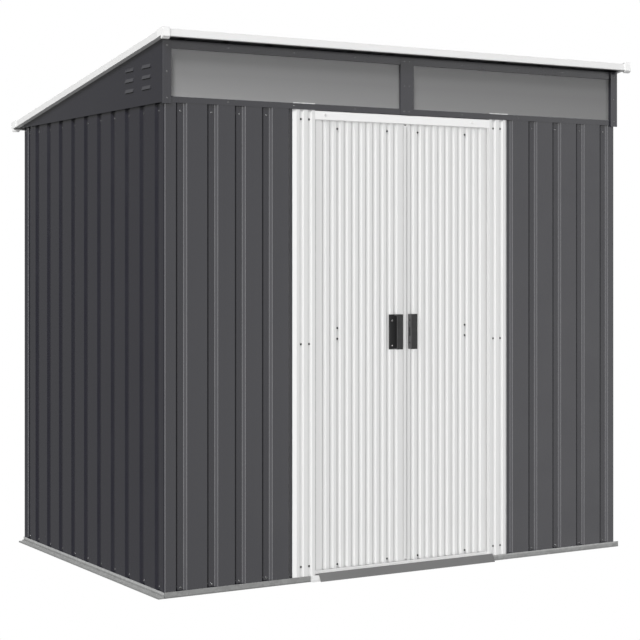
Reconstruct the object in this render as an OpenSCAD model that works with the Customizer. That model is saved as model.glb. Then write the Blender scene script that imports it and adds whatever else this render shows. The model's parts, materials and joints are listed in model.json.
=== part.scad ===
// Metal garden shed, 6 ft x 4 ft, with a single-pitch roof, a glazed strip over double sliding doors
// and louvred gables. The front looks along -Y, X runs along the front and the ground is Z = 0.

/* [Walls] */
// Outside width over the wall sheets
wall_w = 1830; // [1700:10:2200]
// Outside depth over the wall sheets
wall_d = 1215; // [1180:5:1400]
// Height of the wall sheets' visible top edge
wall_top = 1552; // [1450:1:1700]
// Thickness of the folded sheet
sheet = 0.8; // [0.6:0.1:1.2]
// Fit left between pieces that seat on each other
seat = 0.3; // [0.2:0.05:0.5]
// Radius of the folded corners of the building
corner_r = 5.5; // [3:0.5:6]

/* [Wall grooves] */
// Width of a groove at the wall's face
groove_w = 38; // [34:1:42]
// Width of a groove's flat floor
groove_floor = 22; // [16:1:24]
// Depth of a groove
groove_depth = 6.5; // [5:0.5:8]
// Distance of each side wall's first groove from the front corner
side_first = 48; // [44:1:70]
// Spacing of the last groove of a side wall and its rear corner's groove
rear_space = 90.5; // [70:0.5:110]
// Number of grooves in each side wall, without the rear corner's
side_count = 10; // [6:1:10]
// Distance of the rear corners' grooves from the corner
rear_corner_groove = 46; // [42:1:60]
// Distance from the rear corner to the step out of a side wall's last groove
rear_step = 31; // [26:1:32]
// Distance of the front left corner's groove from the corner
left_corner_groove = 60; // [45:1:70]
// Spacing of the grooves in the front left sheet
left_pitch = 99.2; // [90:0.2:104]
// Distance of the front right corner's groove from the corner
right_corner_groove = 48.5; // [42:0.5:60]
// Spacing of the grooves in the front right sheet
right_pitch = 109; // [96:1:112]
// Number of grooves in each front sheet, without the corner's
front_count = 4; // [3:1:4]
// Number of spaces between the grooves of the back wall
back_spaces = 16; // [12:1:18]

/* [Base rails] */
// Height of the base rails
base_h = 19.5; // [18:0.5:24]
// Thickness of the base rails' sheet
rail_t = 1.2; // [1:0.1:1.6]
// Width of the ground flange outside the side and back rails
flange_w = 19; // [15:1:25]
// Height of the ground flange
flange_h = 5; // [3:0.5:6]
// Length of the front rail past the front right corner
rail_overrun = 18.5; // [10:0.5:20]

/* [Doorway] */
// Distance of the doorway's centre to the left of the wall's middle
doorway_shift = 10; // [0:1:14]
// Clear width between the jambs
doorway_w = 712; // [690:1:730]
// Face width of a jamb strip
jamb_w = 70.5; // [64:0.5:76]
// Width of the left jamb's slope down to the dark sheet
left_jamb_slope = 12.4; // [8:0.1:14]
// Width of the right jamb's slope down to the dark sheet
right_jamb_slope = 9.5; // [8:0.1:14]
// Width of the dark groove's floor that shows beside the left jamb
left_jamb_floor = 9.5; // [5:0.5:14]
// Width of the dark groove's floor that shows beside the right jamb
right_jamb_floor = 13.5; // [5:0.5:18]
// Depth of a jamb's return beside the doors
jamb_return = 16; // [12:1:17]
// Height a jamb strip stands above the lower window rail
jamb_rise = 3; // [0:0.5:4]
// Spacing of the two ripples in a jamb strip
jamb_ripple_pitch = 31; // [26:1:34]
// Height of the header over the doors
header_h = 30.5; // [22:0.5:34]
// Distance of the header's face below the lower window rail
header_drop = 2.5; // [0:0.5:4]
// Height of the sill's top edge
sill_h = 26; // [24:1:30]
// Distance the sill ramp reaches in front of the wall
ramp_reach = 20; // [18:1:30]
// Distance of the sill ramp's top edge in front of the wall
ramp_top_reach = 5; // [4:0.5:6]
// Distance of the sill ramp's ends inside the doorway's width
ramp_inset = 1; // [0:1:10]
// Distance from the front rail's end to the sill ramp
rail_stop = 29; // [20:1:40]
// Height of the guide that stands up from the bottom track before the leaves
guide_h = 6; // [4:0.5:8]
// Distance of the door tracks' back behind the wall's face
track_d = 50; // [50:1:60]

/* [Sliding doors] */
// Distance from the wall's face to the door leaves' face
door_inset = 23.5; // [23:0.5:25]
// Distance of a leaf's outer edge from the meeting line
leaf_w = 392; // [386:1:420]
// Travel of each leaf
leaf_travel = 280; // [200:5:280]
// Distance from the meeting line to the left leaf's edge, which lies behind the right leaf's lip
left_lap = 3; // [1:0.5:4]
// Distance from the left leaf's edge to the right leaf's face
meeting_gap = 7.2; // [7.2:0.1:9]
// Width of the slope from the right leaf's face up to its lip
lip_slope = 4; // [3:0.5:4]
// Distance from the meeting line to the lip's edge
lip_w = 4; // [3:0.5:8]
// Clearance over and under the leaves
leaf_clear = 5; // [5:0.5:8]
// Depth of the leaves' folded edges
leaf_return = 14; // [11:0.5:15]
// Spacing of the leaves' ripples
ripple_pitch = 28.3; // [26:0.1:29]
// Number of ripples in one leaf
ripple_count = 11; // [6:1:11]
// Distance of the first ripple from the meeting line
ripple_first = 34.5; // [30:0.5:40]
// Width of a ripple at the leaf's face
ripple_w = 16; // [14:0.5:18]
// Width of a ripple's flat floor
ripple_floor = 8; // [6:0.5:10]
// Depth of a ripple
ripple_depth = 4.5; // [3:0.5:5]
// Height of the channels that stiffen a leaf
leaf_rail_h = 25; // [18:1:35]
// Length of a glide
glide_l = 30; // [20:1:50]

/* [Handles] */
// Height of a handle
handle_h = 119; // [90:1:140]
// Height of the handles' middle above the ground
handle_z = 813.5; // [700:0.5:950]
// Width of the handle's grip
grip_w = 24; // [18:1:26]
// Depth of the grip in front of the leaf
grip_d = 22.5; // [16:0.5:22.5]
// Wall thickness of the moulded handle
grip_t = 3; // [2.5:0.5:4]
// Width of the left handle's screwed flange
left_handle_flange = 20.5; // [14:0.5:24]
// Width of the right handle's screwed flange
right_handle_flange = 12; // [10:0.5:24]
// Distance of the grip from the meeting line
grip_offset = 17; // [14:0.5:20]
// Length of the slot in the grip's side
grip_slot = 30; // [20:1:50]
// Width of that slot and of the holes above and below it
grip_slot_w = 6.5; // [2:0.5:8]
// Distance of those holes from the handle's middle
grip_hole_z = 38; // [25:1:45]

/* [Window strip] */
// Height of the rail under the glazing
lower_rail_h = 19; // [18:0.5:28]
// Height of the rail over the glazing
upper_rail_h = 27; // [20:1:34]
// Width of the window posts
post_w = 30; // [24:1:36]
// Distance the window posts and gables stand out from the side walls
post_out = 8.4; // [6:0.2:10]
// Distance the window posts stand out from the front wall
post_front = 8; // [5:0.5:10]
// Distance the window posts reach below the window rails
post_drop = 4; // [0:0.5:6]
// Width of the mullion
mullion_w = 53; // [40:1:60]
// Distance of the mullion's middle to the left of the wall's middle
mullion_shift = 4; // [0:0.5:10]
// Distance of the panes behind the wall's face
pane_inset = 6; // [6:0.5:7]
// Thickness of the panes
pane_t = 4; // [3.5:0.5:6]
// Height that the walls and panes reach behind the lower window rail
rail_lap = 14; // [10:1:16]

/* [Gables] */
// Length of a louvre
louvre_l = 62; // [40:1:80]
// Spacing of the two louvre columns
louvre_pitch_y = 130; // [100:1:150]
// Distance of the first louvre column's middle from the front corner
louvre_y = 111; // [80:1:140]
// Spacing of the louvre rows
louvre_pitch_z = 34; // [28:1:36]
// Height of the lowest louvres' slit above the gable's bottom edge
louvre_z = 48.5; // [40:0.5:50]
// Height of a louvre's hood
louvre_h = 14; // [10:1:18]
// Distance a louvre's hood stands out
louvre_out = 4; // [3:0.5:6]

/* [Roof] */
// Pitch of the roof in degrees
roof_pitch = 8.93; // [8:0.01:9]
// Height of the roof's underside above the wall sheets' top at the front
roof_rise = 197; // [196:1:206]
// Overhang in front of the wall, to the trim's face
front_overhang = 53; // [40:1:70]
// Overhang behind the wall, to the trim's face
rear_overhang = 46; // [36:1:60]
// Overhang beside the walls, to the trim's face
side_overhang = 27; // [24:1:40]
// Height of the side trims
side_trim_h = 22.2; // [19:0.2:26]
// Height of the front and back trims
end_trim_h = 24.5; // [22:0.5:26]
// Distance the front and back trims reach below the roof's underside
end_trim_drop = 5; // [3:0.5:6]
// Width of the trims' top flanges
trim_flange = 18; // [12:1:20]
// Wall thickness of the corner caps
cap_t = 3.5; // [2:0.5:4]
// Length of a corner cap along the front or back
cap_x = 25; // [22:1:44]
// Length of a corner cap along the side
cap_y = 42; // [36:1:64]
// Height of the slope under a corner cap
cap_nose = 6; // [3:0.5:8]
// Height of the roof sheets' ribs
roof_rib_h = 9; // [6:0.5:12]
// Width of the roof sheets' ribs
roof_rib_w = 34; // [28:1:44]
// Number of ribs in each roof sheet
roof_rib_count = 6; // [4:1:8]
// Height of the roof beams
beam_h = 30; // [24:1:40]
// Width of the roof beams
beam_w = 25; // [20:1:40]
// Number of roof beams
beam_count = 2; // [1:1:3]

/* [Hidden] */

dark_steel = "#505156";
white_steel = "#ececec";
galvanised = "#a9aba9";
ramp_grey = "#7d7d7d";
black_plastic = "#3a3a3a";
smoked_pane = "#808084";

// The pieces are drawn from the walls' front left corner and then set about the roof's middle
cap_lip = 1.2;
cap_ledge = 16;
cap_low = -end_trim_drop - seat - cap_lip;
cap_top = side_trim_h + seat + cap_lip;
centre_y = (wall_d + rear_overhang - front_overhang + (cap_top + cap_low) * sin(roof_pitch)) / 2;
middle_x = wall_w / 2;
face_out = rail_t + seat;
wall_z = rail_t + seat;
sheet_back = groove_depth + sheet + seat;
side_pitch = (wall_d - rear_corner_groove - rear_space - side_first) / (side_count - 1);
side_return = side_first - groove_w / 2 - sheet;
back_return = rear_corner_groove - groove_w / 2 - sheet;
side_split = floor(side_count / 2);
back_split = floor(back_spaces / 2);
back_pitch = (wall_w - 2 * rear_corner_groove) / back_spaces;
side_wall_rise = 4;
top_rail_h = 30;
top_rail_d = 25;

doorway_x = middle_x - doorway_shift;
jamb_left_x = doorway_x - doorway_w / 2;
jamb_right_x = doorway_x + doorway_w / 2;
jamb_left_edge = jamb_left_x - jamb_w - left_jamb_slope;
jamb_right_edge = jamb_right_x + jamb_w + right_jamb_slope;
// A jamb strip starts on the floor of a groove of the dark sheet beside it
left_jamb_groove = jamb_left_edge - left_jamb_floor + groove_floor / 2;
right_jamb_groove = jamb_right_edge + right_jamb_floor - groove_floor / 2;

ramp_left_x = middle_x - doorway_w / 2 + ramp_inset;
ramp_right_x = middle_x + doorway_w / 2 - ramp_inset;
ramp_t = 2.2;
toe_reach = ramp_reach - 8;
toe_h = 8;
toe_top = ramp_top_reach - 1.5;
track_front = jamb_return + seat;
track_half = leaf_w + leaf_travel + 10;
leaf_z = sill_h + leaf_clear;
leaf_top = wall_top - rail_t - leaf_clear;
leaf_back = ripple_depth + sheet + seat;
lip_depth = sheet + seat + leaf_clear;
right_edge = left_lap + meeting_gap;
lip_bottom = sill_h + guide_h + leaf_clear;
lip_top = wall_top - header_h - leaf_clear;
handle_plate = 2.2;
handle_cap = 4;

window_z = wall_top + lower_rail_h;
pane_z = wall_top + rail_lap + seat;
roof_z = wall_top + roof_rise;
window_head = roof_z - 0.5;
window_top = window_head - upper_rail_h;
post_inner = post_w - post_out;
mullion_x = middle_x - mullion_shift;
gable_face = -post_out;

rise_per_mm = tan(roof_pitch);
roof_front = -front_overhang / cos(roof_pitch);
roof_back = (wall_d + rear_overhang) / cos(roof_pitch);
trim_t = 1;
trim_lip = 8;
roof_sheet_z = trim_t + seat;

// Folded-sheet outlines

function unit(a, b) = (b - a) / norm(b - a);
function left_of(v) = [-v[1], v[0]];
function mitre(path, i) = let(
    last = len(path) - 1,
    before = left_of(unit(path[max(i - 1, 0)], path[max(i, 1)])),
    after = left_of(unit(path[min(i, last - 1)], path[min(i + 1, last)]))
) (before + after) / (1 + before * after);
// The outline of a sheet of thickness t that lies on the left of a path
function strip(path, t) = concat(path, [for (i = [len(path) - 1:-1:0]) path[i] + t * mitre(path, i)]);
// A groove of a sheet whose face lies at 0, pressed in to the depth d
function groove(c, w, base, d) = [[c - w / 2, 0], [c - base / 2, d], [c + base / 2, d], [c + w / 2, 0]];
function wall_groove(c) = groove(c, groove_w, groove_floor, groove_depth);
function ripple(c) = groove(c, ripple_w, ripple_floor, ripple_depth);
// The half of a wall groove that ends or starts a sheet at x on the groove's floor
function groove_end(c, x) = [[c - groove_w / 2, 0], [c - groove_floor / 2, groove_depth], [x, groove_depth]];
function groove_start(c, x) = [[x, groove_depth], [c + groove_floor / 2, groove_depth], [c + groove_w / 2, 0]];
// A folded corner at [x, 0] that comes from the depth direction, and one that turns into it
function corner_in(x, r) = [for (a = [180:30:270]) [x + r + r * cos(a), r + r * sin(a)]];
function corner_out(x, r) = [for (a = [270:30:360]) [x - r + r * cos(a), r + r * sin(a)]];
function roof_height(y) = roof_z - y * rise_per_mm;

module placed() {
    translate([-middle_x, -centre_y, 0]) children();
}

module mirrored_x() {
    translate([wall_w, 0, 0]) mirror([1, 0, 0]) children();
}

// Turns a plan drawn for the front into one for the left side or the back
module on_left() {
    mirror([1, -1, 0]) children();
}

module on_back() {
    translate([0, wall_d, 0]) mirror([0, 1, 0]) children();
}

module upright(z0, z1) {
    translate([0, 0, z0]) linear_extrude(z1 - z0) children();
}

// Extrudes a section drawn as [Y, Z] along X, and one drawn as [X, Z] along Y
module along_x(x0, x1) {
    translate([x0, 0, 0]) rotate([90, 0, 90]) linear_extrude(x1 - x0) children();
}

module along_y(y0, y1) {
    translate([0, y1, 0]) rotate([90, 0, 0]) linear_extrude(y1 - y0) children();
}

module on_roof() {
    placed() translate([0, 0, roof_z]) rotate([-roof_pitch, 0, 0]) children();
}

// Base

// Section of a channel that holds a wall's foot: its web lies outside the wall's face at 0
module foot_channel() {
    polygon([
        [-face_out, base_h], [-face_out, 0], [sheet_back + rail_t, 0], [sheet_back + rail_t, base_h],
        [sheet_back, base_h], [sheet_back, rail_t], [-seat, rail_t], [-seat, base_h]
    ]);
}

// The same section without its inner web
module foot_angle() {
    polygon([
        [-face_out, base_h], [-face_out, 0], [sheet_back + rail_t, 0], [sheet_back + rail_t, rail_t],
        [-seat, rail_t], [-seat, base_h]
    ]);
}

// Section of the web and the hemmed ground flange outside it
module foot_flange() {
    polygon([
        [-face_out - flange_w, 0], [-seat, 0], [-seat, base_h], [-face_out, base_h],
        [-face_out, flange_h], [-face_out - flange_w, flange_h]
    ]);
}

// A side rail: its channel stops short of the corners, where the next channel lies
module side_rail(flange_start) {
    inset = sheet_back + rail_t + seat;
    along_x(inset, wall_d - inset) foot_channel();
    along_x(flange_start, wall_d + face_out) foot_flange();
}

module base_rail_front_left() {
    color(galvanised) placed() along_x(sheet + seat, ramp_left_x - rail_stop) foot_channel();
}

module base_rail_front_right() {
    color(galvanised) placed() {
        along_x(ramp_right_x + seat, wall_w - sheet - seat) foot_channel();
        along_x(ramp_right_x + seat, wall_w + rail_overrun) foot_angle();
    }
}

module base_rail_left() {
    color(galvanised) placed() on_left() side_rail(-face_out);
}

module base_rail_right() {
    color(galvanised) placed() mirrored_x() on_left() side_rail(sheet_back + rail_t + seat);
}

module base_rail_back() {
    color(galvanised) placed() on_back() {
        along_x(sheet + seat, wall_w - sheet - seat) foot_channel();
        along_x(seat, wall_w - seat) foot_flange();
    }
}

module door_sill_ramp() {
    color(ramp_grey) placed() along_x(ramp_left_x, ramp_right_x) polygon([
        [-ramp_reach, 0], [ramp_t - ramp_reach, 0], [ramp_t - ramp_top_reach, sill_h], [-ramp_top_reach, sill_h]
    ]);
}

module door_bottom_track() {
    color(white_steel) placed() {
        // Wedge in front of the jambs, under the ramp
        along_x(ramp_left_x - rail_stop + seat, ramp_right_x) polygon([
            [-toe_reach, 0], [-toe_reach, toe_h], [-toe_top, base_h], [-seat, base_h], [-seat, 0]
        ]);
        // Threshold between the jambs
        along_x(jamb_left_x + seat, jamb_right_x - seat)
            translate([ramp_t + seat - ramp_top_reach, sill_h - rail_t]) square([track_d - ramp_t, rail_t]);
        // Guide before the leaves' lower edges
        along_x(jamb_left_x + seat, jamb_right_x - seat)
            translate([track_front, sill_h - rail_t]) square([rail_t, rail_t + guide_h]);
        // Channel on which the leaves run
        along_x(middle_x - track_half, middle_x + track_half) polygon(strip(
            [[track_front, 0], [track_front, sill_h], [track_d, sill_h], [track_d, 0]], -rail_t));
    }
}

// Walls

module wall_sheet(path, top) {
    color(dark_steel) upright(wall_z, top) polygon(strip(path, sheet));
}

module front_wall_left() {
    placed() wall_sheet([
        [0, side_return],
        each corner_in(0, corner_r),
        each wall_groove(left_corner_groove),
        for (i = [front_count - 1:-1:1]) each wall_groove(left_jamb_groove - i * left_pitch),
        each groove_end(left_jamb_groove, jamb_left_edge - seat)
    ], wall_top + rail_lap);
}

module front_wall_right() {
    placed() wall_sheet([
        each groove_start(right_jamb_groove, jamb_right_edge + seat),
        for (i = [1:front_count - 1]) each wall_groove(right_jamb_groove + i * right_pitch),
        each wall_groove(wall_w - right_corner_groove),
        each corner_out(wall_w, corner_r),
        [wall_w, side_return]
    ], wall_top + rail_lap);
}

function side_groove(i) = side_first + i * side_pitch;

module side_wall_front() {
    wall_sheet([
        for (i = [0:side_split - 1]) each wall_groove(side_groove(i)),
        each groove_end(side_groove(side_split), side_groove(side_split) - seat / 2)
    ], wall_top + side_wall_rise);
}

module side_wall_rear() {
    wall_sheet([
        each groove_start(side_groove(side_split), side_groove(side_split) + seat / 2),
        for (i = [side_split + 1:side_count - 1]) each wall_groove(side_groove(i)),
        each groove_end(wall_d - rear_corner_groove, wall_d - rear_step),
        each corner_in(wall_d - rear_step, corner_r),
        each corner_out(wall_d, corner_r),
        [wall_d, back_return]
    ], wall_top + side_wall_rise);
}

module left_wall_front() {
    placed() on_left() side_wall_front();
}

module left_wall_rear() {
    placed() on_left() side_wall_rear();
}

module right_wall_front() {
    placed() mirrored_x() on_left() side_wall_front();
}

module right_wall_rear() {
    placed() mirrored_x() on_left() side_wall_rear();
}

function back_groove(i) = rear_corner_groove + i * back_pitch;

module back_wall_left() {
    placed() on_back() wall_sheet([
        for (i = [0:back_split - 1]) each wall_groove(back_groove(i)),
        each groove_end(back_groove(back_split), back_groove(back_split) - seat / 2)
    ], wall_top + side_wall_rise);
}

module back_wall_right() {
    placed() on_back() wall_sheet([
        each groove_start(back_groove(back_split), back_groove(back_split) + seat / 2),
        for (i = [back_split + 1:back_spaces]) each wall_groove(back_groove(i))
    ], wall_top + side_wall_rise);
}

// Section of a frame rail inside a wall's top, from the sheets' back inwards
module top_rail_section(z0, z1) {
    polygon(strip([
        [sheet_back + top_rail_d, z0], [sheet_back, z0], [sheet_back, z1], [sheet_back + top_rail_d, z1]
    ], -rail_t));
}

module top_rail_front() {
    color(dark_steel) placed() along_x(sheet_back, wall_w - sheet_back)
        top_rail_section(wall_top + seat, wall_top + rail_lap);
}

module side_top_rail() {
    color(dark_steel) on_left() along_x(sheet_back, wall_d - sheet_back)
        top_rail_section(wall_top - top_rail_h, wall_top);
}

module top_rail_left() {
    placed() side_top_rail();
}

module top_rail_right() {
    placed() mirrored_x() side_top_rail();
}

module top_rail_back() {
    inset = sheet_back + top_rail_d + seat;
    color(dark_steel) placed() on_back() along_x(inset, wall_w - inset)
        top_rail_section(wall_top - top_rail_h, wall_top);
}

// Doorway

// The left jamb's strip, with its outer edge at the given width beyond the face
module jamb_strip(slope) {
    middle = jamb_left_x - jamb_w / 2;
    edge = jamb_left_x - jamb_w - slope;
    face = [
        [jamb_left_x - jamb_w, 0],
        for (side = [-1, 1]) each ripple(middle + side * jamb_ripple_pitch / 2),
        [jamb_left_x, 0]
    ];
    color(white_steel) {
        upright(wall_z, wall_top)
            polygon(strip([[edge, groove_depth], each face, [jamb_left_x, jamb_return]], sheet));
        upright(wall_top, window_z + jamb_rise) polygon(strip([[edge, 0], each face], sheet));
    }
}

module left_jamb() {
    placed() jamb_strip(left_jamb_slope);
}

module right_jamb() {
    placed() translate([2 * doorway_x, 0, 0]) mirror([1, 0, 0]) jamb_strip(right_jamb_slope);
}

module door_header() {
    bottom = wall_top - header_h;
    cover_top = wall_top - header_drop;
    color(white_steel) placed() {
        // Cover between the jambs
        along_x(jamb_left_x + seat, jamb_right_x - seat) polygon(strip(
            [[trim_lip, bottom], [0, bottom], [0, cover_top], [track_front + rail_t, cover_top]], -rail_t));
        // Channel in which the leaves hang, behind the front wall
        along_x(middle_x - track_half, middle_x + track_half) polygon(strip(
            [[track_front, bottom], [track_front, wall_top], [track_d, wall_top], [track_d, bottom]], -rail_t));
    }
}

// Gables

// A hood over a slit, pressed out of the gable, with its slit at the height z
module louvre_hood(z) {
    polygon([[gable_face + sheet, z], [gable_face - louvre_out, z], [gable_face + sheet, z + louvre_h]]);
}

module louvre_hollow(z) {
    inner = gable_face - louvre_out + 1.5 * sheet;
    reach = gable_face + 2 * sheet;
    polygon([[inner, z - 1], [reach, z - 1], [reach, z + (reach - inner) * louvre_h / louvre_out], [inner, z]]);
}

module at_louvres(length) {
    for (i = [0:1], j = [0:2]) {
        y = louvre_y + i * louvre_pitch_y;
        along_y(y - length / 2, y + length / 2)
            translate([0, wall_top + louvre_z + j * louvre_pitch_z]) children();
    }
}

module gable() {
    color(dark_steel) difference() {
        union() {
            along_x(gable_face, gable_face + sheet) polygon([
                [0, wall_top], [wall_d, wall_top],
                [wall_d, roof_height(wall_d) - seat], [0, roof_height(0) - seat]
            ]);
            // Lip over the wall sheets' top
            translate([gable_face, 0, wall_top]) cube([post_out - seat, wall_d, sheet]);
            at_louvres(louvre_l) louvre_hood(0);
        }
        at_louvres(louvre_l - 2 * sheet) louvre_hollow(0);
    }
}

module gable_left() {
    placed() gable();
}

module gable_right() {
    placed() mirrored_x() gable();
}

// Window strip

module window_rail(z0, z1) {
    color(dark_steel) placed() translate([post_inner + seat, -face_out, z0])
        cube([wall_w - 2 * (post_inner + seat), rail_t, z1 - z0]);
}

module window_rail_lower() {
    window_rail(wall_top, window_z);
}

module window_rail_upper() {
    window_rail(window_top, window_head);
}

// A post's section, with its inner flank reaching back to the depth d
module post_section(d) {
    polygon(strip([
        [post_inner, d], [post_inner, -post_front], [gable_face, -post_front], [gable_face, -seat]
    ], -rail_t));
}

module window_post() {
    color(dark_steel) {
        upright(wall_top - post_drop, pane_z) post_section(-seat);
        upright(pane_z, window_head) post_section(pane_inset - seat);
    }
}

module window_post_left() {
    placed() window_post();
}

module window_post_right() {
    placed() mirrored_x() window_post();
}

module window_mullion() {
    front = -face_out - seat - rail_t;
    left = mullion_x - mullion_w / 2;
    right = mullion_x + mullion_w / 2;
    color(dark_steel) placed() {
        translate([left, front, wall_top]) cube([mullion_w, rail_t, window_head - wall_top]);
        upright(window_z + seat, window_top - seat) polygon(strip(
            [[left, pane_inset - seat], [left, front], [right, front], [right, pane_inset - seat]], rail_t));
    }
}

module window_pane(x0, x1) {
    color(smoked_pane) placed() translate([x0, pane_inset, pane_z])
        cube([x1 - x0, pane_t, window_head - pane_z - pane_t]);
}

module window_pane_left() {
    window_pane(corner_r, mullion_x - seat);
}

module window_pane_right() {
    window_pane(mullion_x + seat, wall_w - corner_r);
}

// Roof, drawn in a plane that slopes down to the back from the walls' front face

module roof_sheet(x0, x1) {
    pitch = (x1 - x0) / roof_rib_count;
    path = [
        [x0, 0],
        for (i = [0:roof_rib_count - 1])
            each groove(x0 + (i + 0.5) * pitch, roof_rib_w, 0.4 * roof_rib_w, roof_rib_h),
        [x1, 0]
    ];
    color(dark_steel) on_roof() along_y(roof_front + trim_t + seat, roof_back - trim_t - seat)
        translate([0, roof_sheet_z]) polygon(strip(path, sheet));
}

module roof_sheet_left() {
    roof_sheet(trim_t + seat - side_overhang, middle_x - seat / 2);
}

module roof_sheet_right() {
    roof_sheet(middle_x + seat / 2, wall_w + side_overhang - trim_t - seat);
}

module roof_beams() {
    top = roof_sheet_z - seat;
    color(dark_steel) on_roof() for (i = [1:beam_count]) {
        y = i * wall_d / (beam_count + 1);
        along_x(gable_face + sheet + seat, wall_w - gable_face - sheet - seat) polygon(strip(
            [[y + beam_w, top - beam_h], [y, top - beam_h], [y, top], [y + beam_w, top]], -rail_t));
    }
}

module end_trim_section() {
    polygon(strip([
        [trim_flange, end_trim_h - end_trim_drop], [0, end_trim_h - end_trim_drop],
        [0, -end_trim_drop], [trim_lip, -end_trim_drop]
    ], trim_t));
}

module roof_trim_front() {
    color(white_steel) on_roof() along_x(-side_overhang, wall_w + side_overhang)
        translate([roof_front, 0]) end_trim_section();
}

module roof_trim_back() {
    color(white_steel) on_roof() along_x(-side_overhang, wall_w + side_overhang)
        translate([roof_back, 0]) mirror([1, 0]) end_trim_section();
}

module side_trim() {
    along_y(roof_front + trim_flange + seat, roof_back - trim_flange - seat) polygon(strip([
        [trim_flange - side_overhang, side_trim_h], [-side_overhang, side_trim_h],
        [-side_overhang, 0], [gable_face - seat, 0]
    ], trim_t));
}

module roof_trim_left() {
    color(white_steel) on_roof() side_trim();
}

module roof_trim_right() {
    color(white_steel) on_roof() mirrored_x() side_trim();
}

// A cap over the trims' corner, with its outer edge at the origin
module corner_cap() {
    translate([0, 0, cap_low]) {
        cube([cap_x, cap_t, cap_top - cap_low]);
        cube([cap_t, cap_ledge, cap_top - cap_low]);
        along_x(0, cap_x) polygon([
            [0, cap_lip], [0, 0], [cap_ledge / 2, -cap_nose], [cap_ledge, -cap_nose], [cap_ledge, cap_lip]
        ]);
    }
    translate([0, 0, -cap_lip]) cube([cap_t, cap_y, cap_top + cap_lip]);
    upright(cap_top - cap_lip, cap_top) {
        square([cap_x, cap_ledge]);
        square([cap_ledge, cap_y]);
    }
}

module roof_corner_caps() {
    out = seat + cap_t;
    color(white_steel) on_roof() {
        for (side = [0, 1]) translate([side * wall_w, 0, 0]) mirror([side, 0, 0]) {
            translate([-side_overhang - out, roof_front - out, 0]) corner_cap();
            translate([-side_overhang - out, roof_back + out, 0]) mirror([0, 1, 0]) corner_cap();
        }
    }
}

// Sliding doors, drawn to the right of the meeting line with the leaf's face at 0

module right_leaf() {
    placed() translate([middle_x, door_inset, 0]) children();
}

module left_leaf() {
    right_leaf() mirror([1, 0, 0]) children();
}

// A part of a leaf's sheet, with its meeting edge given as the path's first points
module leaf_sheet(z0, z1, edge) {
    color(white_steel) upright(z0, z1) polygon(strip([
        each edge,
        for (i = [0:ripple_count - 1]) each ripple(ripple_first + i * ripple_pitch),
        [leaf_w, 0],
        [leaf_w, leaf_return]
    ], sheet));
}

module leaf_rails(start) {
    color(white_steel) for (z = [leaf_z, handle_z - leaf_rail_h / 2, leaf_top - leaf_rail_h])
        along_x(start, leaf_w - sheet - seat) polygon(strip([
            [leaf_return, z], [leaf_back, z], [leaf_back, z + leaf_rail_h], [leaf_return, z + leaf_rail_h]
        ], -rail_t));
}

module leaf_glides() {
    inset = 2 * glide_l;
    color(black_plastic) for (x = [inset, leaf_w - inset], z = [sill_h, leaf_top])
        translate([x - glide_l / 2, leaf_back, z + seat])
            cube([glide_l, leaf_return - leaf_back, leaf_clear - 2 * seat]);
}

// A moulded C-shaped grip that is open away from the meeting line, on a screwed flange
module handle(flange) {
    x0 = grip_offset;
    x1 = x0 + grip_w;
    back = -seat - handle_plate;
    z0 = handle_z - handle_h / 2;
    web_middle = (back + grip_t - grip_d) / 2;
    color(black_plastic) {
        difference() {
            upright(z0, z0 + handle_h) polygon([
                [x1 + flange, -seat], [x1 + flange, back], [x0 + grip_t, back],
                [x0 + grip_t, grip_t - grip_d], [x1, grip_t - grip_d], [x1, -grip_d],
                [x0 + 1, -grip_d], [x0, 1 - grip_d], [x0, -seat]
            ]);
            translate([x0 - 1, web_middle - grip_slot_w / 2, handle_z - grip_slot / 2])
                cube([grip_t + 2, grip_slot_w, grip_slot]);
            for (side = [-1, 1])
                translate([x0 - 1, web_middle, handle_z + side * grip_hole_z])
                    rotate([0, 90, 0]) cylinder(h = grip_t + 2, d = grip_slot_w, $fn = 24);
        }
        for (z = [z0, z0 + handle_h - handle_cap]) upright(z, z + handle_cap) polygon([
            [x0 + 1, -grip_d], [x1, -grip_d], [x1, -seat], [x0, -seat], [x0, 1 - grip_d]
        ]);
    }
}

module left_door_sheet() {
    left_leaf() leaf_sheet(leaf_z, leaf_top, [[-left_lap, leaf_return], [-left_lap, 0]]);
}

module left_door_rails() {
    left_leaf() leaf_rails(sheet + seat - left_lap);
}

module left_door_glides() {
    left_leaf() leaf_glides();
}

module left_door_handle() {
    left_leaf() handle(left_handle_flange);
}

// The right leaf's meeting edge steps forward to a lip that covers the left leaf's edge
module right_door_sheet() {
    lip = [[-lip_w, -lip_depth], [right_edge - lip_slope, -lip_depth]];
    right_leaf() {
        leaf_sheet(leaf_z, lip_bottom, [[right_edge, 0]]);
        leaf_sheet(lip_bottom, lip_top, [each lip, [right_edge, 0]]);
        leaf_sheet(lip_top, leaf_top, [[right_edge, 0]]);
    }
}

module right_door_rails() {
    right_leaf() leaf_rails(right_edge + sheet);
}

module right_door_glides() {
    right_leaf() leaf_glides();
}

module right_door_handle() {
    right_leaf() handle(right_handle_flange);
}

base_rail_front_left();
base_rail_front_right();
base_rail_left();
base_rail_right();
base_rail_back();
door_sill_ramp();
door_bottom_track();
front_wall_left();
front_wall_right();
left_wall_front();
left_wall_rear();
right_wall_front();
right_wall_rear();
back_wall_left();
back_wall_right();
left_jamb();
right_jamb();
door_header();
top_rail_front();
top_rail_left();
top_rail_right();
top_rail_back();
gable_left();
gable_right();
window_rail_lower();
window_rail_upper();
window_post_left();
window_post_right();
window_mullion();
window_pane_left();
window_pane_right();
roof_sheet_left();
roof_sheet_right();
roof_beams();
roof_trim_front();
roof_trim_back();
roof_trim_left();
roof_trim_right();
roof_corner_caps();
left_door_sheet();
left_door_rails();
left_door_glides();
left_door_handle();
right_door_sheet();
right_door_rails();
right_door_glides();
right_door_handle();
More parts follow.
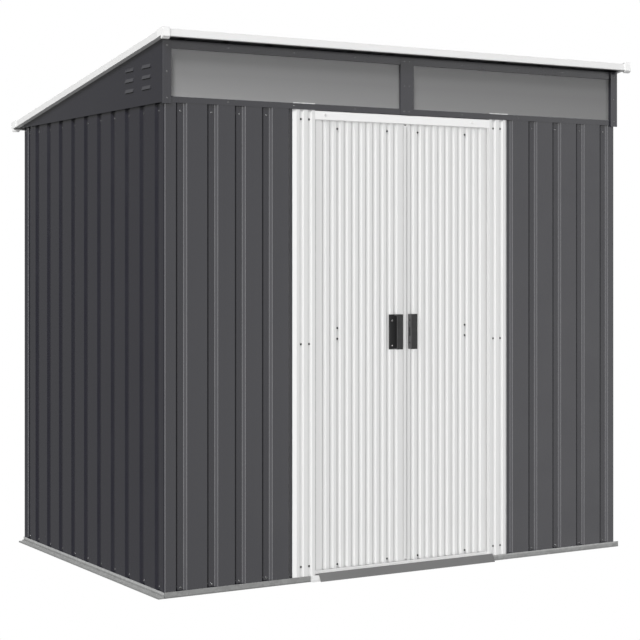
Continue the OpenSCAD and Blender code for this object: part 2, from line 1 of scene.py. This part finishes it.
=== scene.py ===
"""Looks of a metal garden tool shed with a pent roof and sliding doors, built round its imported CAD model."""
import json
import math

import bmesh
import bpy
from mathutils import Matrix, Vector


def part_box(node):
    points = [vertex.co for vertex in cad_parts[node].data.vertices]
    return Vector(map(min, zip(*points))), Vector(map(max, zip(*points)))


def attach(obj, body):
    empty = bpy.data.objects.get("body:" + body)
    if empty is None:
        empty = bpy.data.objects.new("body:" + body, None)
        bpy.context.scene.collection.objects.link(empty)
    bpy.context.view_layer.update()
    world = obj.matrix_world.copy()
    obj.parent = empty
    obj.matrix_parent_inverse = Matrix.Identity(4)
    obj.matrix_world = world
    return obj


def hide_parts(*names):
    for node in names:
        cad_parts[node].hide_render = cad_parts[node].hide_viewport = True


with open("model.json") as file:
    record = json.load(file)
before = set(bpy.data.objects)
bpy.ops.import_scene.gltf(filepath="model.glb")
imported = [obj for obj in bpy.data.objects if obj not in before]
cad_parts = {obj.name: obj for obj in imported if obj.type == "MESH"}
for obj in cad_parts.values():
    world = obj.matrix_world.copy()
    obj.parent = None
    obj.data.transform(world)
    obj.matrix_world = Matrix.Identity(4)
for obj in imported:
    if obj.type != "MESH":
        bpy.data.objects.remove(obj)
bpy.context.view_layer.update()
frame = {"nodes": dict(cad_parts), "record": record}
nodes = frame["nodes"]
scene = bpy.context.scene
BODY = {n: b for b, members in frame["record"]["behaviour"]["bodies"].items() for n in members}

# Millimetres from the walls' front left corner at ground level to the row frame
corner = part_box("front_wall_left")[0]
MM = 0.001


def at(x, y, z):
    """The row frame's point at these millimetres from the corner."""
    return Vector((corner.x + x * MM, corner.y + y * MM, z * MM))


WALL_W = (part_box("front_wall_right")[1].x - corner.x) / MM
WALL_D = (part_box("left_wall_rear")[1].y - corner.y) / MM
MIDDLE = WALL_W / 2


# ---------------------------------------------------------------- materials

class Tree:
    """A short way to write a material's nodes."""

    def __init__(self, name):
        self.mat = bpy.data.materials.new(name)
        self.mat.use_nodes = True
        self.nt = self.mat.node_tree
        self.shader = self.nt.nodes["Principled BSDF"]
        self.coords = self.nt.nodes.new("ShaderNodeTexCoord").outputs["Object"]

    def set(self, **values):
        for key, value in values.items():
            self.shader.inputs[key.replace("_", " ")].default_value = value

    def node(self, kind, **values):
        n = self.nt.nodes.new(kind)
        for key, value in values.items():
            setattr(n, key, value)
        return n

    def link(self, a, b):
        self.nt.links.new(a, b)

    def noise(self, scale, detail=3, stretch=(1, 1, 1)):
        m = self.node("ShaderNodeMapping")
        m.inputs["Scale"].default_value = stretch
        self.link(self.coords, m.inputs["Vector"])
        n = self.node("ShaderNodeTexNoise")
        n.inputs["Scale"].default_value = scale
        n.inputs["Detail"].default_value = detail
        self.link(m.outputs["Vector"], n.inputs["Vector"])
        return n.outputs["Fac"]

    def spread(self, value, low, high, start=0.3, stop=0.7):
        """The value from start to stop, mapped to low and high and clamped."""
        r = self.node("ShaderNodeMapRange")
        r.inputs["From Min"].default_value = start
        r.inputs["From Max"].default_value = stop
        r.inputs["To Min"].default_value = low
        r.inputs["To Max"].default_value = high
        self.link(value, r.inputs["Value"])
        return r.outputs["Result"]

    def mix(self, value, a, b):
        m = self.node("ShaderNodeMix", data_type="RGBA")
        m.inputs["A"].default_value = (*a, 1)
        m.inputs["B"].default_value = (*b, 1)
        self.link(value, m.inputs["Factor"])
        return m.outputs["Result"]

    def bump(self, *pairs):
        """Bumps from (value, height in metres) pairs, one on the other."""
        normal = None
        for value, height in pairs:
            b = self.node("ShaderNodeBump")
            b.inputs["Distance"].default_value = height
            self.link(value, b.inputs["Height"])
            if normal is not None:
                self.link(normal, b.inputs["Normal"])
            normal = b.outputs["Normal"]
        self.link(normal, self.shader.inputs["Normal"])


def paint(name, dark, light, rough, specular, wave=0.0002, peel=0.00001, uneven=1.0):
    """Baked paint on thin sheet: a faint cloudiness, an orange-peel skin and the sheet's slight waviness.
    wave and peel are heights in metres, and uneven scales the roughness's own variation."""
    t = Tree(name)
    t.set(Specular_IOR_Level=specular, Metallic=0.0)
    cloud = t.noise(2.3, 4, (1, 1, 0.5))
    t.link(t.mix(t.spread(cloud, 0, 1), dark, light), t.shader.inputs["Base Color"])
    t.link(t.spread(t.noise(9, 3), rough - 0.03 * uneven, rough + 0.04 * uneven), t.shader.inputs["Roughness"])
    t.bump((t.noise(1.6, 1, (1, 1, 0.35)), wave), (t.noise(900, 2), peel))
    return t.mat


DARK = paint("dark_paint", (0.0156, 0.0154, 0.0213), (0.0171, 0.0169, 0.0231), 0.19, 0.87)
# A darker, duller copy of the dark paint for the grooves' floors: painted shade in the recesses.
GROOVE_SHADE_PAINT = paint("groove_painted_shade", (0.0156, 0.0154, 0.021), (0.0172, 0.017, 0.0228), 0.19, 0.7)
# The upper rail's own copy of the dark paint, its tone and gloss tuned to the shade under the eaves: painted shade.
EAVES_SHADE_PAINT = paint("rail_painted_shade", (0.0175, 0.0173, 0.0237), (0.0192, 0.019, 0.0258), 0.24, 0.95)
DARK_ROOF = paint("dark_roof_paint", (0.012, 0.0125, 0.0138), (0.0138, 0.0143, 0.0157), 0.42, 0.6)
WHITE = paint("white_paint", (0.606, 0.606, 0.604), (0.614, 0.614, 0.612), 0.28, 0.45,
              wave=0.00001, peel=0.000002, uneven=0.2)
TRIM = paint("white_trim_paint", (0.65, 0.65, 0.647), (0.67, 0.67, 0.667), 0.34, 0.3, wave=0.00003)
# A lighter copy of the white paint for the roof's corner caps and the door header, for the extra light they catch:
# painted light.
LIT_WHITE_PAINT = paint("white_painted_light", (0.735, 0.735, 0.732), (0.745, 0.745, 0.742), 0.36, 0.4, wave=0.00003)
RAMP = paint("ramp_paint", (0.143, 0.143, 0.143), (0.16, 0.16, 0.16), 0.42, 0.5, wave=0.00005)


ZINC_TOP = 20  # the height in millimetres that the zinc's tone ramp ends at


def galvanised(name, *tones):
    """Zinc-coated steel with faint spangles, its tone set by stops of height in millimetres: these bands are
    painted light and shade on the rails' faces at those heights.
    """
    t = Tree(name)
    t.set(Metallic=0.35, Specular_IOR_Level=0.5)
    v = t.node("ShaderNodeTexVoronoi")
    v.inputs["Scale"].default_value = 90
    t.link(t.coords, v.inputs["Vector"])
    s = t.node("ShaderNodeSeparateColor")
    t.link(v.outputs["Color"], s.inputs["Color"])
    z = t.node("ShaderNodeSeparateXYZ")
    t.link(t.coords, z.inputs["Vector"])
    r = t.node("ShaderNodeValToRGB")
    r.color_ramp.interpolation = "CONSTANT"
    e = r.color_ramp.elements
    for _ in tones[2:]:
        e.new(0.5)
    for i, (height, tone) in enumerate(tones):
        e[i].position = height / ZINC_TOP
        e[i].color = (tone, 1.01 * tone, tone, 1)
    t.link(t.spread(z.outputs["Z"], 0, 1, 0, ZINC_TOP * MM), r.inputs["Fac"])
    m = t.node("ShaderNodeMix", data_type="RGBA", blend_type="MULTIPLY")
    m.inputs["Factor"].default_value = 1
    t.link(r.outputs["Color"], m.inputs["A"])
    t.link(t.mix(s.outputs["Red"], (0.9, 0.9, 0.9), (1.1, 1.1, 1.1)), m.inputs["B"])
    t.link(m.outputs["Result"], t.shader.inputs["Base Color"])
    t.link(t.spread(s.outputs["Green"], 0.36, 0.5, 0, 1), t.shader.inputs["Roughness"])
    t.bump((t.noise(700, 2), 0.00001))
    return t.mat


# The zinc's tone bands by height are painted light and shade; the two front rails take darker copies: painted
# shade.
ZINC = galvanised("zinc_steel", (0, 0.27), (4.6, 0.36), (5.4, 0.26), (12, 0.44))
ZINC_FRONT_SHADED = galvanised("front_zinc_painted_shade", (0, 0.23), (6, 0.27), (14, 0.36))
ZINC_LEFT_SHADED = galvanised("left_zinc_painted_shade", (0, 0.18), (4, 0.245))


def plastic(name, colour, rough, specular):
    """Moulded plastic with a fine grain."""
    t = Tree(name)
    t.set(Specular_IOR_Level=specular)
    soft = tuple(1.25 * c for c in colour)
    t.link(t.mix(t.spread(t.noise(40, 4), 0, 1), colour, soft), t.shader.inputs["Base Color"])
    t.link(t.spread(t.noise(60, 2), rough - 0.05, rough + 0.05), t.shader.inputs["Roughness"])
    t.bump((t.noise(1800, 2), 0.00003))
    return t.mat


PLASTIC = plastic("black_plastic", (0.016, 0.016, 0.0165), 0.42, 0.35)
GRIP = plastic("grey_plastic", (0.036, 0.036, 0.0365), 0.6, 0.12)
# A lighter copy of the grip's plastic for the grips' left sides, for the light they catch: painted light.
GRIP_LIT_SIDE = plastic("grip_side_painted_light", (0.076, 0.076, 0.077), 0.6, 0.12)
# A grey plastic for a strip that stands in for the shadow line beside the left jamb: painted shadow.
SHADOW_STRIP = plastic("painted_shadow_strip", (0.33, 0.33, 0.33), 0.55, 0.2)
GLIDE = plastic("glide_plastic", (0.03, 0.03, 0.031), 0.5, 0.4)


def pane_material():
    """Smoked clear sheet whose tone goes by height, and along the two panes from left to right: the smoke's grey is
    the sheet's own, while the ramps over it are painted reflection, and light that offsets the shade under the top
    rail.
    """
    t = Tree("smoked_pane")
    low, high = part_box("window_pane_left")
    t.set(Specular_IOR_Level=0.5, Roughness=0.12, IOR=1.49)
    s = t.node("ShaderNodeSeparateXYZ")
    t.link(t.coords, s.inputs["Vector"])

    def tones(*stops):
        """A grey ramp up the pane's height, from its foot to its head: painted reflection and light."""
        r = t.node("ShaderNodeValToRGB")
        e = r.color_ramp.elements
        for _ in stops[2:]:
            e.new(0.5)
        for i, (position, v) in enumerate(stops):
            e[i].position = position
            e[i].color = (v, v, 1.005 * v, 1)
        t.link(t.spread(s.outputs["Z"], 0, 1, low.z, high.z), r.inputs["Fac"])
        return r.outputs["Color"]

    across = t.node("ShaderNodeMix", data_type="RGBA")
    t.link(t.spread(s.outputs["X"], 0, 1, low.x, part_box("window_pane_right")[1].x), across.inputs["Factor"])
    # The stops over the smoked grey are painted reflection and light: lighter at the head, to offset the top rail's
    # shade, and changing along the panes as the reflections do.
    left = tones((0, 0.345), (0.12, 0.29), (0.45, 0.24), (0.7, 0.245), (0.9, 0.315), (1, 0.4))
    right = tones((0, 0.22), (0.12, 0.2), (0.45, 0.175), (0.7, 0.195), (0.9, 0.24), (1, 0.28))
    t.link(left, across.inputs["A"])
    t.link(right, across.inputs["B"])
    t.link(across.outputs["Result"], t.shader.inputs["Base Color"])
    t.shader.inputs["Alpha"].default_value = 0.8
    t.bump((t.noise(3, 1), 0.0002))
    return t.mat


PANE = pane_material()


def metal(name, colour, rough, metallic=0.8):
    """Bare or thinly painted metal of a fastener."""
    t = Tree(name)
    t.set(Metallic=metallic)
    soft = tuple(min(1, 1.2 * c) for c in colour)
    t.link(t.mix(t.spread(t.noise(300, 3), 0, 1), colour, soft), t.shader.inputs["Base Color"])
    t.link(t.spread(t.noise(500, 2), rough - 0.06, rough + 0.06), t.shader.inputs["Roughness"])
    t.bump((t.noise(2500, 2), 0.00001))
    return t.mat


SCREW = metal("dark_screw", (0.03, 0.03, 0.031), 0.3)
WALL_SCREW = metal("painted_screw", (0.17, 0.17, 0.173), 0.18, 0.9)
BRIGHT_SCREW = metal("bright_screw", (0.42, 0.42, 0.42), 0.28)
WHITE_SCREW = plastic("white_screw", (0.62, 0.62, 0.61), 0.4, 0.5)

SLOT_MATERIAL = {"dark_steel": DARK, "white_steel": WHITE, "galvanised_steel": ZINC, "ramp_steel": RAMP,
                 "black_plastic": PLASTIC, "smoked_acrylic": PANE}
NODE_SLOT = {s["node"]: s["material_slot"] for s in frame["record"]["subparts"]}


def material_of(name):
    """A CAD node's main material: its slot's, unless it is one of a few with a tone of their own; for the upper
    rail, the caps and header, and the front base rails these are copies of one paint or zinc, lightened or darkened
    for the light or shade they catch (painted light and shade).
    """
    if name.startswith("roof_sheet") or name == "roof_beams":
        return DARK_ROOF
    if name.startswith("roof_trim"):
        return TRIM
    if name in ("roof_corner_caps", "door_header"):
        return LIT_WHITE_PAINT
    if name == "window_rail_upper":
        return EAVES_SHADE_PAINT
    if name == "base_rail_front_left":
        return ZINC_LEFT_SHADED
    if name == "base_rail_front_right":
        return ZINC_FRONT_SHADED
    if name.endswith("glides"):
        return GLIDE
    return SLOT_MATERIAL[NODE_SLOT[name]]


# ---------------------------------------------------------------- folded sheets

def thinness(face):
    """The width of a strip, also of one that is folded within its plane."""
    return 2 * face.calc_area() / face.calc_perimeter()


def add(name, me, body, slot, *materials):
    """A new piece that rides on a body and takes the materials given; its slot is not used."""
    o = bpy.data.objects.new(name, me)
    scene.collection.objects.link(o)
    me.materials.clear()
    for m in materials:
        me.materials.append(m)
    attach(o, body)
    return o


# The solids of the roof sheets end just short of each other, where real ones overlap: their copies meet here
SEAM = (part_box("roof_sheet_left")[1].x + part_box("roof_sheet_right")[0].x) / 2
SEAM_REACH = 0.0004
FOLD_STEPS = 3
SAME_FACE = math.radians(0.4)
FOLD_LEAST = 12  # degrees
SHARP = 36  # degrees


def soften(name, radius, *others, clamp=True):
    """Stands for a CAD node with the same solid whose folds are rounded, as in bent sheet or moulded plastic.
    Faces that pass another material's test, given their middle and normal, take that material."""
    me = nodes[name].data.copy()
    bm = bmesh.new()
    bm.from_mesh(me)
    bmesh.ops.remove_doubles(bm, verts=bm.verts, dist=2e-6)
    bmesh.ops.dissolve_limit(bm, angle_limit=SAME_FACE, verts=bm.verts, edges=bm.edges)
    if name.startswith("roof_sheet"):
        for v in bm.verts:
            if abs(v.co.x - SEAM) < SEAM_REACH:
                v.co.x = SEAM
    wide = {f: thinness(f) > 2.1 * radius for f in bm.faces}
    folds = [e for e in bm.edges if len(e.link_faces) == 2 and all(wide[f] for f in e.link_faces)
             and math.degrees(e.calc_face_angle(0)) > FOLD_LEAST]
    bmesh.ops.bevel(bm, geom=folds, offset=radius, offset_type="OFFSET", segments=FOLD_STEPS, profile=0.5,
                    affect="EDGES", clamp_overlap=clamp, material=-1)
    bm.normal_update()
    picks = []
    for f in bm.faces:
        f.smooth = True
        passed = [test(f.calc_center_median(), f.normal) for _, test in others]
        picks.append(passed.index(True) + 1 if True in passed else 0)
    for e in bm.edges:
        e.smooth = len(e.link_faces) == 2 and math.degrees(e.calc_face_angle(0)) < SHARP
    bm.to_mesh(me)
    bm.free()
    o = add(name + "_folded", me, BODY[name], NODE_SLOT[name], material_of(name), *[m for m, _ in others])
    me.polygons.foreach_set("material_index", picks)
    weighted = o.modifiers.new("weighted", "WEIGHTED_NORMAL")
    weighted.keep_sharp = True
    weighted.weight = 100  # large faces only, so flats stay flat beside a rounded fold
    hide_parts(name)
    return o


FLANGE = 0.0028  # just over the thickness of a handle's flange


def on_grip(middle, normal):
    """True in front of a handle's flange."""
    return middle.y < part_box("left_door_handle")[1].y - FLANGE


def on_grip_side(middle, normal):
    """True on a grip's left side, which takes a lighter copy of the grip's plastic: painted light."""
    return on_grip(middle, normal) and normal.x < -0.8


def on_groove_floor(middle, normal):
    """True on the floors of the front walls' grooves, which take a darker, duller copy of the dark paint: painted
    shade in the recesses.
    """
    return normal.y < -0.99 and middle.y > at(0, 6, 0).y


# The jambs, header and handles cast no shadow, as in flat studio light; the leaves shade their own ripples.
for name in nodes:
    if name.endswith("jamb"):
        soften(name, 0.0006).visible_shadow = False
    elif name.endswith("door_sheet"):
        soften(name, 0.0006, clamp=False)
    elif name.startswith("front_wall_"):
        soften(name, 0.0016, (GROOVE_SHADE_PAINT, on_groove_floor))
    elif "_wall_" in name:
        soften(name, 0.0016)
    elif name.startswith("roof_sheet"):
        soften(name, 0.003)
    elif name.endswith("handle"):
        soften(name, 0.0009, (GRIP_LIT_SIDE, on_grip_side), (GRIP, on_grip)).visible_shadow = False
    elif name == "door_header":
        soften(name, 0.0012).visible_shadow = False
    elif name.startswith("roof_trim"):
        soften(name, 0.0012)
    elif name.startswith(("window_post", "window_mullion")):
        soften(name, 0.001)
    else:
        o = nodes[name]
        o.data.materials.clear()
        o.data.materials.append(material_of(name))


# ---------------------------------------------------------------- painted shadow strip

def shadow_strip_along_jamb(x0, x1, y0, y1, z0, z1):
    """A grey strip at the left jamb's edge that shows as the dark line between the jamb and its leaf: painted
    shadow.
    """
    bm = bmesh.new()
    bmesh.ops.create_cube(bm, size=1)
    low, high = at(x0, y0, z0), at(x1, y1, z1)
    for v in bm.verts:
        v.co = Vector(high[i] if v.co[i] > 0 else low[i] for i in range(3))
    bmesh.ops.bevel(bm, geom=bm.edges[:], offset=0.0004, segments=2, profile=0.5, affect="EDGES")
    me = bpy.data.meshes.new("left_jamb_shadow_strip")
    bm.to_mesh(me)
    bm.free()
    add("left_jamb_shadow_strip", me, "shed", "black_plastic", SHADOW_STRIP).visible_shadow = False


JAMB_IN = (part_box("left_jamb")[1].x - corner.x) / MM
shadow_strip_along_jamb(JAMB_IN + 0.1, JAMB_IN + 3.1, 0.2, 6, 38, 1520)


# ---------------------------------------------------------------- fasteners

def screw_mesh(bm, matrix, r=4.2, h=2.2):
    """A pan head with a cross recess, its seat at the matrix's origin and its axis along +Z."""
    rings = [(r, 0.0), (r, 0.35 * h), (0.93 * r, 0.62 * h), (0.78 * r, 0.83 * h), (0.56 * r, 0.95 * h),
             (0.36 * r, h), (0.18 * r, h)]
    count = 16
    layers = []
    for radius, z in rings:
        layer = []
        for i in range(count):
            a = 2 * math.pi * i / count
            x, y = radius * math.cos(a), radius * math.sin(a)
            cross = min(abs(x), abs(y)) < 0.1 * r and radius < 0.6 * r
            layer.append(bm.verts.new(matrix @ Vector((x * MM, y * MM, (z - (0.4 * h if cross else 0)) * MM))))
        layers.append(layer)
    centre = bm.verts.new(matrix @ Vector((0, 0, 0.5 * h * MM)))
    for a, b in zip(layers, layers[1:]):
        for i in range(count):
            j = (i + 1) % count
            bm.faces.new((a[i], a[j], b[j], b[i]))
    for i in range(count):
        bm.faces.new((layers[-1][i], layers[-1][(i + 1) % count], centre))


def facing(normal):
    """Turns +Z to the normal."""
    return Vector(normal).to_track_quat("Z", "Y").to_matrix().to_4x4()


def screws(name, body, slot, material, places, r=4.2, h=2.2):
    """One piece of many screws. Each place is a point in the row frame and the way its head faces."""
    bm = bmesh.new()
    for i, (point, normal) in enumerate(places):
        turn = Matrix.Rotation(math.radians(37 * i), 4, "Z")
        screw_mesh(bm, Matrix.Translation(point) @ facing(normal) @ turn, r, h)
    bmesh.ops.recalc_face_normals(bm, faces=bm.faces)
    for f in bm.faces:
        f.smooth = True
    me = bpy.data.meshes.new(name)
    bm.to_mesh(me)
    bm.free()
    return add(name, me, body, slot, material)


FRONT, LEFT, RIGHT, BACK = (0, -1, 0), (-1, 0, 0), (1, 0, 0), (0, 1, 0)
# Millimetres: how deep the grooves' floors lie, the heights of the screws on them, and the grooves' middles
GROOVE = 6.5
LEVELS = (29, 1528)
left_grooves = [60, 170, 269.2, 368.4]
right_grooves = [1452.5, 1561.5, 1670.5, 1781.5]
side_grooves = [48 + 114.5 * i for i in range(10)] + [WALL_D - 46]
back_grooves = [46 + (WALL_W - 92) / 16 * i for i in range(17)]

places = [(at(x, GROOVE, z), FRONT) for x in left_grooves + right_grooves for z in LEVELS]
places += [(at(x, WALL_D - GROOVE, z), BACK) for x in back_grooves for z in LEVELS]
for y in side_grooves:
    for z in LEVELS:
        places.append((at(GROOVE, y, z), LEFT))
        places.append((at(WALL_W - GROOVE, y, z), RIGHT))
screws("wall_screws", "shed", "dark_steel", WALL_SCREW, places)

jamb_in = 4.5
jamb_places = [(at(x, jamb_in, z), FRONT) for x in (496.4, 527.4, 1278.3, 1309.3) for z in (1520.4, 782, 51.5)]
screws("jamb_screws", "shed", "dark_steel", SCREW, jamb_places, 3.7, 2.0)
screws("header_screws", "shed", "white_steel", WHITE_SCREW, [(at(x, -0.3, 1538), FRONT) for x in (587, 1185)])

strip = [(at(x, -1.5, z), FRONT) for x in (226, 468, 703, 1142, 1386, 1585) for z in (1735, 1563)]
strip += [(at(x, -8, z), FRONT) for x in (6.6, WALL_W - 6.6) for z in (1730, 1648, 1566)]
strip += [(at(x, -3, z), FRONT) for x in (900, 920) for z in (1733, 1650, 1563)]
screws("window_screws", "shed", "dark_steel", WALL_SCREW, strip, 3.6, 1.8)

door_face = (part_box("left_door_sheet")[0].y - corner.y) / MM


def door_screws(side, body, flange_middle, inner, outer):
    """Screws on the leaf's face, between its ripples, for the rails behind it."""
    spots = [(u, z) for u in (inner, outer) for z in (1495.5, 43.8)] + [(outer, 831.3), (outer, 795.3)]
    points = [(at(MIDDLE + side * u, door_face, z), FRONT) for u, z in spots]
    screws(body + "_screws", body, "black_plastic", SCREW, points, 3.6, 1.8)
    flange = door_face - 2.5
    grips = [(at(MIDDLE + side * flange_middle, flange, 809.4 + dz), FRONT) for dz in (-42.5, 42.5)]
    screws(body + "_handle_screws", body, "black_plastic", BRIGHT_SCREW, grips, 3.0, 1.6)


door_screws(-1, "left_door", 49.2, 68.8, 266.8)
door_screws(1, "right_door", 47, 56.6, 254.7)


# ---------------------------------------------------------------- floor, light and camera

def white_floor():
    """A floor that shows plain white and lights nothing, a hair under the shed."""
    me = bpy.data.meshes.new("floor")
    half = 40
    me.from_pydata([(-half, -half, 0), (half, -half, 0), (half, half, 0), (-half, half, 0)], [], [(0, 1, 2, 3)])
    o = bpy.data.objects.new("floor", me)
    scene.collection.objects.link(o)
    o.location.z = -0.0005
    t = Tree("floor_white")
    t.set(Base_Color=(0, 0, 0, 1), Roughness=0.9, Specular_IOR_Level=0.0,
          Emission_Color=(1, 1, 1, 1), Emission_Strength=1.0)
    me.materials.append(t.mat)
    o.visible_glossy = False
    o.visible_diffuse = False


white_floor()


BRIGHTEST = 4.0  # ramps hold 0 to 1, so radiances are kept as shares of this
BELOW = 0.4  # radiance from below the horizon


def studio():
    """Light graded by bearing, in a low band and a high one, which the camera sees as white."""
    w = bpy.data.worlds.new("studio")
    scene.world = w
    w.use_nodes = True
    nt = w.node_tree
    nt.nodes.clear()
    new = nt.nodes.new
    link = nt.links.new

    def maths(kind, a, b=None):
        n = new("ShaderNodeMath")
        n.operation = kind
        for i, v in enumerate((a, b)):
            if v is None:
                continue
            if isinstance(v, (int, float)):
                n.inputs[i].default_value = v
            else:
                link(v, n.inputs[i])
        return n.outputs[0]

    def ramp(value, stops):
        n = new("ShaderNodeValToRGB")
        n.color_ramp.interpolation = "EASE"
        link(value, n.inputs["Fac"])
        e = n.color_ramp.elements
        while len(e) > 1:
            e.remove(e[-1])
        for i, (position, v) in enumerate(stops):
            s = e[0] if i == 0 else e.new(position)
            s.position = position
            s.color = (v, v, v, 1)
        return n.outputs["Color"]

    d = new("ShaderNodeTexCoord").outputs["Generated"]
    s = new("ShaderNodeSeparateXYZ")
    link(d, s.inputs[0])
    x, y, z = s.outputs
    # Bearing 0 is -X, 90 is -Y: 0 to 1 over the whole turn from -180 degrees
    turn = maths("ADD", maths("DIVIDE", maths("ARCTAN2", maths("MULTIPLY", y, -1), maths("MULTIPLY", x, -1)),
                              2 * math.pi), 0.5)

    def bearings(*pairs):
        """Stops of a ramp from bearings in degrees and radiances."""
        return [((b + 180) / 360, v / BRIGHTEST) for b, v in pairs]

    low = ramp(turn, bearings((-180, 0.36), (-120, 0.36), (-90, 0.3), (-60, 0.22), (-35, 0.2), (-15, 0.08),
                              (22, 0.08), (31, 0.9), (38, 1.25), (52, 1.25), (64, 2.5), (70, 3.7), (90, 3.7),
                              (99, 1.6), (107, 0.8), (112, 0.8), (120, 0.96), (135, 1.25), (142, 0.9),
                              (150, 0.5), (175, 0.3), (180, 0.36)))
    high = ramp(turn, bearings((-180, 0.1), (-120, 0.5), (-60, 0.4), (-25, 1.3), (20, 1.9), (45, 0.05), (135, 0.05),
                               (180, 0.1)))

    def blend(a, b, start, stop):
        """From a to b as the way looked at rises from start to stop, the sines of two elevations."""
        m = new("ShaderNodeMix")
        m.data_type = "RGBA"
        r = new("ShaderNodeMapRange")
        r.interpolation_type = "SMOOTHSTEP"
        r.inputs["From Min"].default_value = start
        r.inputs["From Max"].default_value = stop
        link(z, r.inputs["Value"])
        link(r.outputs["Result"], m.inputs["Factor"])
        for socket, v in (("A", a), ("B", b)):
            if isinstance(v, float):
                m.inputs[socket].default_value = (v / BRIGHTEST, v / BRIGHTEST, v / BRIGHTEST, 1)
            else:
                link(v, m.inputs[socket])
        return m.outputs["Result"]

    lit = new("ShaderNodeBackground")
    link(blend(BELOW, blend(low, high, 0.14, 0.34), -0.34, -0.2), lit.inputs["Color"])
    lit.inputs["Strength"].default_value = BRIGHTEST
    seen = new("ShaderNodeBackground")
    seen.inputs["Color"].default_value = (1, 1, 1, 1)
    path = new("ShaderNodeLightPath")
    both = new("ShaderNodeMixShader")
    link(path.outputs["Is Camera Ray"], both.inputs["Fac"])
    link(lit.outputs[0], both.inputs[1])
    link(seen.outputs[0], both.inputs[2])
    out = new("ShaderNodeOutputWorld")
    link(both.outputs[0], out.inputs["Surface"])


studio()


def softbox(name, bearing, elevation, distance, size, power):
    """A square panel that lights the shed from a bearing, 0 for -X and 90 for -Y."""
    light = bpy.data.lights.new(name, "AREA")
    light.size = size
    light.energy = power
    o = bpy.data.objects.new(name, light)
    scene.collection.objects.link(o)
    b, e = math.radians(bearing), math.radians(elevation)
    way = Vector((-math.cos(b) * math.cos(e), -math.sin(b) * math.cos(e), math.sin(e)))
    middle = Vector((0, 0, 0.9))
    o.location = middle + distance * way
    o.rotation_euler = way.to_track_quat("Z", "Y").to_euler()


softbox("key", bearing=38, elevation=36, distance=42, size=12.6, power=17400)
scene.view_settings.view_transform = "Standard"
scene.view_settings.look = "None"

camera = bpy.data.cameras.new("camera")
camera.sensor_width = 36
camera.lens = 93.397
camera.shift_y = -0.0975
camera.clip_end = 200
eye = bpy.data.objects.new("camera", camera)
scene.collection.objects.link(eye)
eye.location = at(-2238.8, -4703.0, 1066.1)
eye.rotation_euler = (math.radians(90), 0, math.radians(-30.824))
scene.camera = eye
